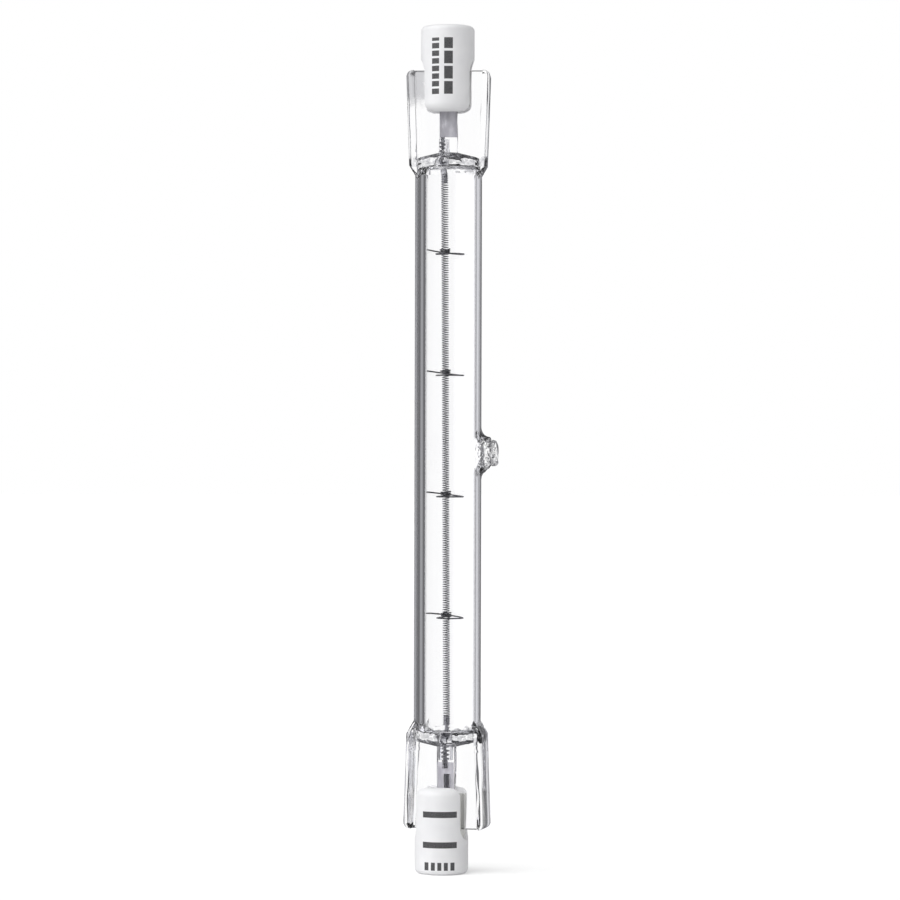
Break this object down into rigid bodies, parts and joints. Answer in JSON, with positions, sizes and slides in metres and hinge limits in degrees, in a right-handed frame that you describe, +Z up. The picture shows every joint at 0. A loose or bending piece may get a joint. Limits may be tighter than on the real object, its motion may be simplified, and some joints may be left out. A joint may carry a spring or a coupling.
{
  "type": "linear halogen bulb",
  "caption": "Double-ended linear halogen bulb: a clear quartz tube with a coiled filament, flat pressed seals and slotted white ceramic caps with recessed contacts.",
  "frame": {"origin": "centre of the lower cap's outer end face, on the axis of its contact recess", "axes": "+Z up along the bulb to the upper cap, +X towards the side with the sealed-off exhaust tip, -Y towards the viewer of the picture"},
  "size_m": [0.0131, 0.0092, 0.1176],
  "materials": {
    "quartz": "clear fused quartz",
    "tungsten": "drawn tungsten wire, grey",
    "molybdenum": "dull grey molybdenum",
    "steatite": "white pressed steatite, satin",
    "contact_metal": "nickel-plated",
    "cement": "pale dry cement, matt"
  },
  "bodies": {
    "root": {"quartz_envelope": "quartz", "filament_coil": "tungsten", "support_1": "tungsten", "support_2": "tungsten", "support_3": "tungsten", "support_4": "tungsten", "lower_inner_lead": "tungsten", "upper_inner_lead": "tungsten", "lower_foil": "molybdenum", "upper_foil": "molybdenum", "lower_outer_lead": "molybdenum", "upper_outer_lead": "molybdenum", "lower_cap": "steatite", "upper_cap": "steatite", "lower_contact": "contact_metal", "upper_contact": "contact_metal", "lower_cement": "cement", "upper_cement": "cement"}
  },
  "joints": []
}
